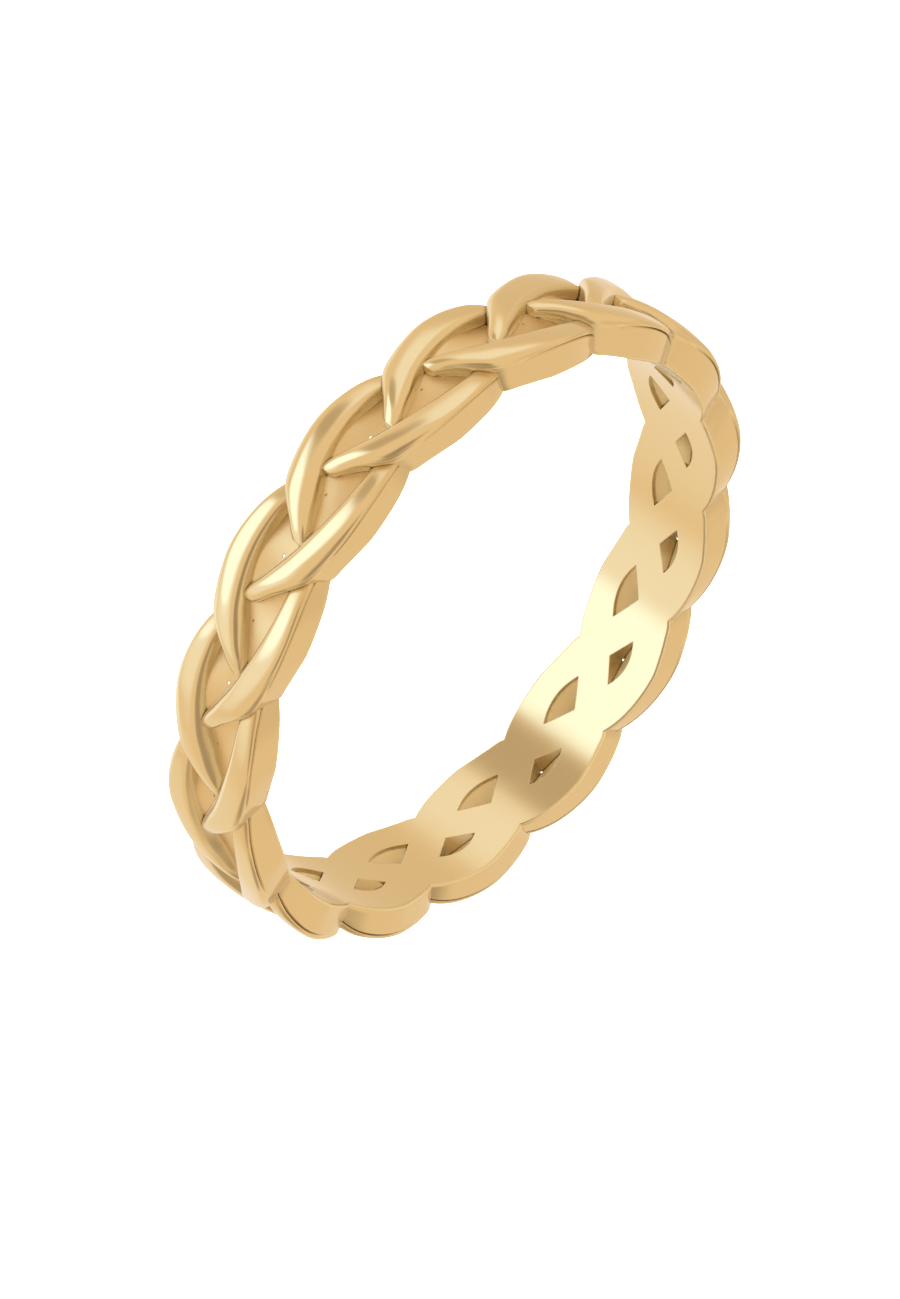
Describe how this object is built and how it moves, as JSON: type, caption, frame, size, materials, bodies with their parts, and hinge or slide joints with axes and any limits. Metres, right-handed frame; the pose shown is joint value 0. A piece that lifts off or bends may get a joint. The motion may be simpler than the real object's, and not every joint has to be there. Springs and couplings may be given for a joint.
{
  "type": "braided band ring",
  "caption": "Polished gold finger ring with a flat braided band, scalloped edges, a smooth round bore and small pinholes where the strands cross.",
  "frame": {"origin": "on the ring's axis, in the plane on which the ring lies", "axes": "+Z along the ring's axis, up from that plane; +X through the middle of a notch of the upper edge"},
  "size_m": [0.0197, 0.0196, 0.0032],
  "materials": {
    "gold": "polished"
  },
  "bodies": {
    "root": {"braided_band": "gold"}
  },
  "joints": []
}
